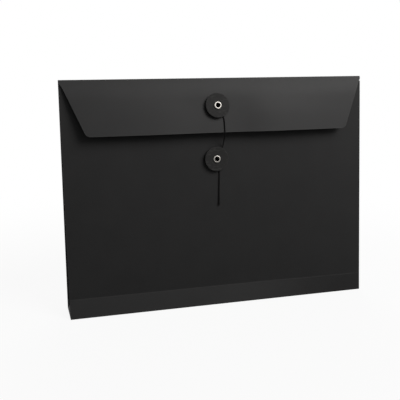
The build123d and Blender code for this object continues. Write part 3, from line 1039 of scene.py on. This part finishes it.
def makeFront():
    points = frontSection()
    runs = lengthsOf(points)
    total = runs[-1]
    creaseRun = frontLength
    toeRun = runs[min(range(len(points)), key=lambda i: points[i][0])]
    heelRun = total - frontSet["tabRun"]
    holeRun = frontLength - lowerRun

    def halfAt(run):
        return halfWidth if run < heelRun else frontSet["tabHalf"]

    def giveAt(x, run):
        fade = frontWarp["endFade"]
        side = smoothStep(*frontWarp["sideFade"], abs(x))
        string = 1.0
        if run <= holeRun + frontWarp["stringReach"]:
            string = smoothStep(*frontWarp["stringFade"], abs(x - washerSet["x"]))
        return float(side * string * smoothStep(0, fade, run) * smoothStep(creaseRun, creaseRun - fade, run))

    def easeAt(x, run):
        if run < creaseRun:
            return creaseEase(x, mouthZ - run * cos(frontLean))
        return creaseEase(x, creaseZ - (run - creaseRun) * cos(bandLean))

    rows = [0, 0.5, 1.2, 2.5, 6, 12, 20, 30, 42, 54]
    rows += [holeRun + d for d in (-8, *blankGrid["holeSteps"], 9)]
    rows += list(np.linspace(holeRun + 18, creaseRun - 14, 8))
    rows += [creaseRun + d for d in (-7, -3, -1.5, -0.7, -0.2, 0.2, 0.7, 1.5, 3, 6, 10, 14)]
    rows += [toeRun + d for d in (-1.6, -0.8, -0.3, 0, 0.2, 0.4, 0.6, 0.9, 1.6, 3, 7, 13, 19, 25, 30)]
    rows += [heelRun + d for d in (-1.4, -0.9, -0.6, -0.4, -0.2, -0.02, 0.02, 1, 5, 10)]
    rows += [total - 1.2, total - 0.5, total]
    sheet = cutBlank("frontAndBase", rows, halfAt, holeRun, (creaseRun, toeRun), giveAt, easeAt)
    foldBlank(sheet, points, frontWarp)
    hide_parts("front_panel", "front_lower_panel", "base_panel", "base_rear_tab")
    below = (0, creaseY * mm, (creaseZ - 1) * mm)
    above = (0, creaseY * mm, (creaseZ + 1) * mm)
    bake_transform(sheet, "pouch", "front", start=below, end=above)
    setBlend(sheet, 1 - smoothStep(creaseRun - 1, creaseRun + 1, pointValues(sheet, "run")))
    return sheet


frontSheet = makeFront()
print("front and base made:", len(frontSheet.data.polygons), "faces")

# Side gussets: tab, leaf, pleat, leaf and tab, with the toe and base flap below
gussetSet = {
    "leafWidth": envelope["depth"] / 2,
    "leafSteps": 6,
    "edgeInset": 0.3,
    "clearance": 0.15,
    "bow": 0.025,
    "tabWidth": 14.0,
    "tabInset": 0.1,
    "tabFoot": 22.0,
    "tabWear": 3,
    "glueGap": 0.01,
    "toeFoot": 1.4,
    "toeHead": 16.0,
    "rows": (30, 44, 60, 78, 96, 114, 132, 150, 168, 186, 200),
    "footRows": (0.25, 0.6, 0.9, 1.0),
    "toeColumns": (0.1, 0.3, 0.5, 0.7, 0.9),
}
# Rows of the base flap: in from the edge, height, how far its ends draw in, and distance to its cut
baseFlapRows = (
    (-0.02, 1.05, 0.0, 1.5),
    (0.35, 0.78, 0.2, 1.5),
    (1.2, 0.755, 0.5, 1.5),
    (14, 0.755, 1.0, 1.5),
    (29.2, 0.755, 1.5, 0),
)
foldedGusset = 4 * envelope["card"] + 2 * gussetSet["clearance"] + envelope["pleatGap"]
pocketDepth = backInnerY(creaseZ) - frontInnerY(creaseZ)
gussetTop = creaseZ + (pocketDepth - foldedGusset) / (tan(backLean) + tan(frontLean))
leafSteps = gussetSet["leafSteps"]
edgeX = halfWidth - gussetSet["edgeInset"]
foldAngles = [radians(a) for a in (-45, 0, 45)]


def leafFrontY(z):
    return frontInnerY(z) + envelope["card"] + gussetSet["clearance"] + halfCard


def leafRearY(z):
    return backInnerY(z) - envelope["card"] - gussetSet["clearance"] - halfCard


def pleatAt(z):
    halfGap = (leafRearY(z) - leafFrontY(z)) / 2
    return sqrt(gussetSet["leafWidth"] ** 2 - halfGap**2), leafFrontY(z) + halfGap


# Points of the leaves from the front edge to the pleat and back to the rear edge
def leafLine(edgeZ, pleatZ):
    reach, middleY = pleatAt(pleatZ)
    frontY, backY = leafFrontY(edgeZ), leafRearY(edgeZ)
    turn = halfCard + gussetSet["clearance"]
    bow = gussetSet["bow"] * (backY - frontY) / 2

    def leaf(startY, endY, bulge):
        line = []
        for i in range(leafSteps + 1):
            t = i / leafSteps
            y = startY + t * (endY - startY) + bulge * sin(pi * t)
            line.append((edgeX - t * reach, y, edgeZ + t * (pleatZ - edgeZ)))
        return line

    front = leaf(frontY, middleY - turn, -bow)
    rear = leaf(backY, middleY + turn, bow)
    pleat = [(edgeX - reach - turn * cos(a), middleY + turn * sin(a), pleatZ) for a in foldAngles]
    return front + pleat + rear[::-1]


# The tab's points beside a leaf's edge, from its inner end to the fold
def tabLine(z, leafY, tabY):
    r = abs(leafY - tabY) / 2
    middle = (leafY + tabY) / 2
    sign = 1 if leafY > tabY else -1
    inner = halfWidth - gussetSet["tabWidth"]
    outer = edgeX - gussetSet["tabInset"]
    line = [(x, tabY, z) for x in (inner, inner + 0.6, (inner + outer) / 2, outer - 1.0, outer - r)]
    return line + [(outer - r + r * cos(a), middle + sign * r * sin(a), z) for a in foldAngles]


def makeGusset(name, side):
    made = bmesh.new()
    cutLayer, followLayer = addLayers(made, "cutEdge", "follow")
    foot, head = gussetSet["tabFoot"], gussetTop
    heights = [foot, foot + 0.6, foot + 2, *gussetSet["rows"], head - 7, head - 2, head - 0.6, head]
    leafCount = 2 * (leafSteps + 1) + len(foldAngles)

    # follow is how far a point goes with the front, and ease how far with its sprung crease
    def addPoint(place, cut, follow, ease=None):
        x, y, z = place
        y -= creaseEase(side * x, z) * (follow if ease is None else ease)
        vert = made.verts.new((side * x * mm, y * mm, z * mm))
        vert[cutLayer] = cut * mm
        vert[followLayer] = follow * float(smoothStep(creaseZ, foot, z))
        return vert

    def stitch(low, high):
        for i in range(len(low) - 1):
            made.faces.new((low[i], low[i + 1], high[i + 1], high[i]))

    def leafFollow(i):
        if i <= leafSteps:
            return 1 - 0.5 * i / leafSteps
        return min(0.5, 0.5 * (leafCount - 1 - i) / leafSteps)

    def creaseDistance(i):
        steps = min(i, leafCount - 1 - i)
        return min(steps, max(leafSteps - steps, 0)) * gussetSet["leafWidth"] / leafSteps

    rows = []
    for z in heights:
        cut = min(z - foot, head - z)
        tabY = frontInnerY(z) + halfCard / cos(frontLean) + gussetSet["glueGap"]
        frontTab = tabLine(z, leafFrontY(z), tabY)
        tabY = backInnerY(z) - halfCard / cos(backLean) - gussetSet["glueGap"]
        rearTab = tabLine(z, leafRearY(z), tabY)
        tabCut = min(cut, gussetSet["tabWear"])
        row = [addPoint(p, tabCut if k else 0, 1) for k, p in enumerate(frontTab)]
        row += [addPoint(p, min(cut, creaseDistance(i)), leafFollow(i)) for i, p in enumerate(leafLine(z, z))]
        row += [addPoint(p, tabCut if k else 0, 0) for k, p in reversed(list(enumerate(rearTab)))]
        rows.append(row)
    for low, high in zip(rows, rows[1:]):
        stitch(low, high)

    # below the tabs the leaves run on to the floor
    tabCount = len(frontTab)
    above = rows[0][tabCount:tabCount + leafCount]
    start = leafLine(foot, foot)
    end = leafLine(gussetSet["toeFoot"], gussetSet["toeHead"])
    for share in gussetSet["footRows"]:
        below = []
        for i in range(leafCount):
            place = tuple(a + (b - a) * share for a, b in zip(start[i], end[i]))
            below.append(addPoint(place, 0 if share == 1 else creaseDistance(i), 0, leafFollow(i)))
        stitch(below, above)
        above = below

    # the toe joins the two leaves' lower edges, and turns under into the base flap
    toeRows = []
    for i in range(leafSteps + 1):
        first, last = above[i], above[leafCount - 1 - i]
        row = [first]
        for k in gussetSet["toeColumns"]:
            spot = first.co.lerp(last.co, k) / mm
            row.append(addPoint((side * spot.x, spot.y, spot.z), 2, 0))
        toeRows.append(row + [last])
    for low, high in zip(toeRows, toeRows[1:]):
        stitch(high, low)
    made.faces.new(toeRows[-1] + [above[i] for i in range(leafSteps + 3, leafSteps, -1)])
    previous = toeRows[0]
    middle = len(previous) // 2
    for inset, z, pull, cut in baseFlapRows:
        row = []
        for k, vert in enumerate(toeRows[0]):
            drawn = pull * ((k < middle) - (k > middle))
            row.append(addPoint((edgeX - inset, vert.co.y / mm + drawn, z), cut, 0))
        stitch(row, previous)
        previous = row
    bmesh.ops.recalc_face_normals(made, faces=made.faces)
    thing = meshObject(name, made)
    thickenCard(thing)
    word = "left" if side < 0 else "right"
    nodes = ["gusset_front_tab", "gusset_rear_tab", "gusset_front_leaf", "gusset_rear_leaf"]
    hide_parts(*[f"{word}_{n}" for n in nodes + ["gusset_toe", "base_flap"]])
    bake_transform(thing, "pouch", "front", start=(0, 0, creaseZ * mm), end=(0, 0, foot * mm))
    setBlend(thing, pointValues(thing, "follow"))
    return thing


gussets = [makeGusset("leftGusset", -1), makeGusset("rightGusset", 1)]
print("gussets made:", len(gussets[0].data.polygons), "faces each")

# Turned pieces, with waves round a rippled edge: lobes, phase and share
turnSet = {"waves": ((3, 1, 1.0), (7, 0, 0.6), (17, 2, 0.5)), "rippleFrom": 0.6, "smoothAngle": 40}


# A closed profile of (radius, height) turned about a seat's axis
def turnProfile(name, seat, profile, piece, finish, edgeOf):
    made = bmesh.new()
    cutLayer = addLayers(made, "cutEdge")[0]
    segments = piece["segments"]
    widest = max(radius for radius, height in profile)
    rings = []
    for k in range(segments):
        angle = 2 * pi * k / segments
        wave = sum(share * sin(lobes * angle + phase) for lobes, phase, share in turnSet["waves"])
        ring = []
        for radius, height in profile:
            rippled = float(smoothStep(turnSet["rippleFrom"], 1, radius / widest))
            r = radius + piece["ripple"] * wave * rippled
            vert = made.verts.new(onSeat(seat, r * cos(angle), r * sin(angle), height))
            vert[cutLayer] = edgeOf(radius, height) * mm
            ring.append(vert)
        rings.append(ring)
    count = len(profile)
    for k in range(segments):
        here, there = rings[k], rings[(k + 1) % segments]
        for i in range(count):
            j = (i + 1) % count
            made.faces.new((here[i], there[i], there[j], here[j]))
    bmesh.ops.recalc_face_normals(made, faces=made.faces)
    thing = meshObject(name, made, finish)
    smoothFaces(thing, turnSet["smoothAngle"])
    return thing


# A profile's round corner, its angles in degrees
def roundCorner(centre, radius, start, end, count=5):
    return arcPoints(centre, radius, radians(start), radians(end), count)


def washerProfile():
    outer, inner, r = washerSet["diameter"] / 2, washerSet["holeRadius"], washerSet["edgeRound"]
    low, high = washerSet["standoff"], washerSet["standoff"] + washerSet["thickness"]
    small, mouth, dish = washerSet["holeRound"], washerSet["mouthRound"], washerSet["dish"]
    line = [(inner, low + small), (inner + small, low)]
    line += [(radius, low) for radius in washerSet["underRadii"]]
    line += roundCorner((outer - r, low + r), r, -90, 0)
    line += roundCorner((outer - r, high - r), r, 0, 90)
    line += [(radius, high - dish * share) for radius, share in washerSet["dishShape"]]
    return line + [(inner + mouth, high - dish), (inner, high - dish - mouth)]


def washerEdge(radius, height):
    return min(abs(washerSet["diameter"] / 2 - radius), washerSet["edgeWear"])


eyeletSet = {
    "bore": 1.95,
    "barrel": 2.25,
    "flange": 3.85,
    "seat": 3.99,
    "height": 1.0,
    "lip": 0.72,
    "innerLip": 0.2,
    "flare": 0.55,
    "flareDepth": 1.1,
    "roll": 3.3,
    "rollRadius": 0.26,
    "stack": 1.0,
    "rollHeight": 0.6,
    "rollDrop": 0.28,
    "bend": 0.12,
    "gap": 0.01,
    "ripple": 0.0,
    "segments": 96,
}


def eyeletProfile():
    e = eyeletSet
    bore, barrel, flange, roll = e["bore"], e["barrel"], e["flange"], e["roll"]
    seat, lip, innerLip, rollRadius = e["seat"], e["lip"], e["innerLip"], e["rollRadius"]
    top = seat + e["height"]
    back, end = -e["stack"], -e["stack"] - e["rollHeight"]
    bend, gap = e["bend"], e["gap"]
    line = [(bore, end + bend), (bore, 0.0), (bore, top - e["flareDepth"])]
    line += roundCorner((bore + e["flare"] + innerLip, top - innerLip), innerLip, 180, 90, 7)
    line += [(flange - lip * 1.05, top)]
    line += roundCorner((flange - lip, top - lip), lip, 84, 0, 7)
    line += [(flange - 0.02, seat + 0.06), (flange - 0.1, seat + gap)]
    line += [(barrel + 0.15, seat + gap), (barrel, seat - bend)]
    line += [(barrel, 0.0), (barrel, back - gap), (roll - 0.25, back - gap)]
    line += roundCorner((roll - rollRadius, back - e["rollDrop"]), rollRadius, 80, -80, 6)
    return line + [(bore + 0.5, end + 0.03), (bore + bend, end)]


# How far down the bore a point of the eyelet is, which sets where its painted shade goes
def boreDepth(radius, height):
    top = eyeletSet["seat"] + eyeletSet["height"]
    return top - height if radius < eyeletSet["bore"] + eyeletSet["flare"] + eyeletSet["gap"] else 0.0


for word, seat, card in (("upper", upperSeat, "flap"), ("lower", lowerSeat, "front")):
    washer = turnProfile(word + "Washer", seat, washerProfile(), washerSet, fibreBoard, washerEdge)
    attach(washer, word + "_washer")
    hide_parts(word + "_washer")
    eyelet = turnProfile(word + "Eyelet", seat, eyeletProfile(), eyeletSet, nickelPlate, boreDepth)
    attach(eyelet, card)
    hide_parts(word + "_eyelet")
print("washers and eyelets made")

# CAD nodes that stay: the paper discs behind the eyelets
for node in ("upper_backing_disc", "lower_backing_disc"):
    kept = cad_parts[node]
    kept.data.materials.clear()
    kept.data.materials.append(backingPaper)

# Floor and backdrop are white, in reflections too
# The room in front of them is dim under a pale ceiling
stageSet = {
    "floorSize": 6.0,
    "floorDrop": 0.0002,
    "floorPaint": (0.95, 0.95, 0.95, 1),
    "floorDim": (0.3, 0.3, 0.3, 1),
    "floorShine": 0.1,
    "floorBehind": (0.05, 0.35),
    "shadowShare": 0.08,
    "shadowReach": (0.22, 0.6),
    "skyForDiffuse": 0.147,
    "skyBehind": (0.25, 0.7),
    "horizonShine": 0.1,
    "ceilingShine": 1.0,
    "ceilingRise": (0.047, 0.474),
    "overheadShare": 0.36,
    "overheadRise": (0.42, 0.8),
    "leftShare": 0.5,
    "leftToRight": (-0.3, 0.5),
}
keyLamp = {
    "place": (0.891, -1.213, 1.384),
    "aim": (0.042, 0.0, 0.15),
    "size": (1.02, 1.02),
    "power": 20.5,
    "colour": (1.0, 0.985, 0.97),
}
backLamp = {
    "place": (0.35, 1.1, 0.4),
    "aim": (0.0, 0.0, 0.12),
    "size": (0.8, 0.8),
    "power": 9.0,
    "colour": (1.0, 1.0, 1.0),
}
white = (1, 1, 1, 1)


def lightPath(tree):
    ray = put(tree, "ShaderNodeLightPath").outputs
    return calc(tree, "MAXIMUM", ray["Is Camera Ray"], ray["Is Transmission Ray"]), ray["Is Glossy Ray"]


def makeFloor():
    mesh = bpy.data.meshes.new("floor")
    s, z = stageSet["floorSize"], -stageSet["floorDrop"]
    mesh.from_pydata([(-s, -s, z), (s, -s, z), (s, s, z), (-s, s, z)], [], [(0, 1, 2, 3)])
    floor = newObject("floor", mesh)
    finish = bpy.data.materials.new("paleFloor")
    finish.use_nodes = True
    tree = finish.node_tree
    tree.nodes.clear()
    seen, glossy = lightPath(tree)
    place = objectPlace(tree)
    away = put(tree, "ShaderNodeVectorMath", {0: place}, operation="LENGTH").outputs["Value"]
    near = ease(tree, away, stageSet["shadowShare"], 0.0, *stageSet["shadowReach"])
    depth = put(tree, "ShaderNodeSeparateXYZ", {0: place}).outputs[1]
    behind = ease(tree, depth, stageSet["floorShine"], 1.0, *stageSet["floorBehind"])
    glow = take(tree, "ShaderNodeEmission", {"Color": white, "Strength": 1.0})
    paint = take(tree, "ShaderNodeBsdfDiffuse", {"Color": stageSet["floorPaint"]})
    dim = take(tree, "ShaderNodeBsdfDiffuse", {"Color": stageSet["floorDim"]})
    shine = take(tree, "ShaderNodeEmission", {"Color": white, "Strength": behind})
    front = take(tree, "ShaderNodeMixShader", {0: near, 1: glow, 2: paint})
    lit = take(tree, "ShaderNodeMixShader", {0: glossy, 1: dim, 2: shine})
    both = take(tree, "ShaderNodeMixShader", {0: seen, 1: lit, 2: front})
    put(tree, "ShaderNodeOutputMaterial", {"Surface": both})
    mesh.materials.append(finish)


def makeSky():
    world = bpy.data.worlds.new("studio")
    world.use_nodes = True
    tree = world.node_tree
    tree.nodes.clear()
    seen, glossy = lightPath(tree)
    way = put(tree, "ShaderNodeTexCoord").outputs["Generated"]
    x, y, z = put(tree, "ShaderNodeSeparateXYZ", {0: way}).outputs
    ceiling = ease(tree, z, stageSet["horizonShine"], stageSet["ceilingShine"], *stageSet["ceilingRise"])
    behind = ease(tree, y, 0.0, 1.0, *stageSet["skyBehind"])
    overhead = ease(tree, z, 1.0, stageSet["overheadShare"], *stageSet["overheadRise"])
    sideways = ease(tree, x, stageSet["leftShare"], 1.0, *stageSet["leftToRight"])
    room = calc(tree, "MULTIPLY", ceiling, calc(tree, "MULTIPLY", overhead, sideways))
    shown = calc(tree, "MAXIMUM", room, behind)
    soft = take(tree, "ShaderNodeMix", {0: glossy, 2: stageSet["skyForDiffuse"], 3: shown})
    strength = take(tree, "ShaderNodeMix", {0: seen, 2: soft, 3: 1.0})
    sky = take(tree, "ShaderNodeBackground", {"Color": white, "Strength": strength})
    put(tree, "ShaderNodeOutputWorld", {"Surface": sky})
    scene.world = world


def addLamp(name, lamp):
    data = bpy.data.lights.new(name, "AREA")
    data.shape = "RECTANGLE"
    data.size, data.size_y = lamp["size"]
    data.energy = lamp["power"]
    data.color = lamp["colour"]
    holder = newObject(name, data)
    holder.location = lamp["place"]
    way = Vector(lamp["aim"]) - Vector(lamp["place"])
    holder.rotation_euler = way.to_track_quat("-Z", "Y").to_euler()


makeFloor()
makeSky()
addLamp("keyLight", keyLamp)
addLamp("backLight", backLamp)
print("stage ready")
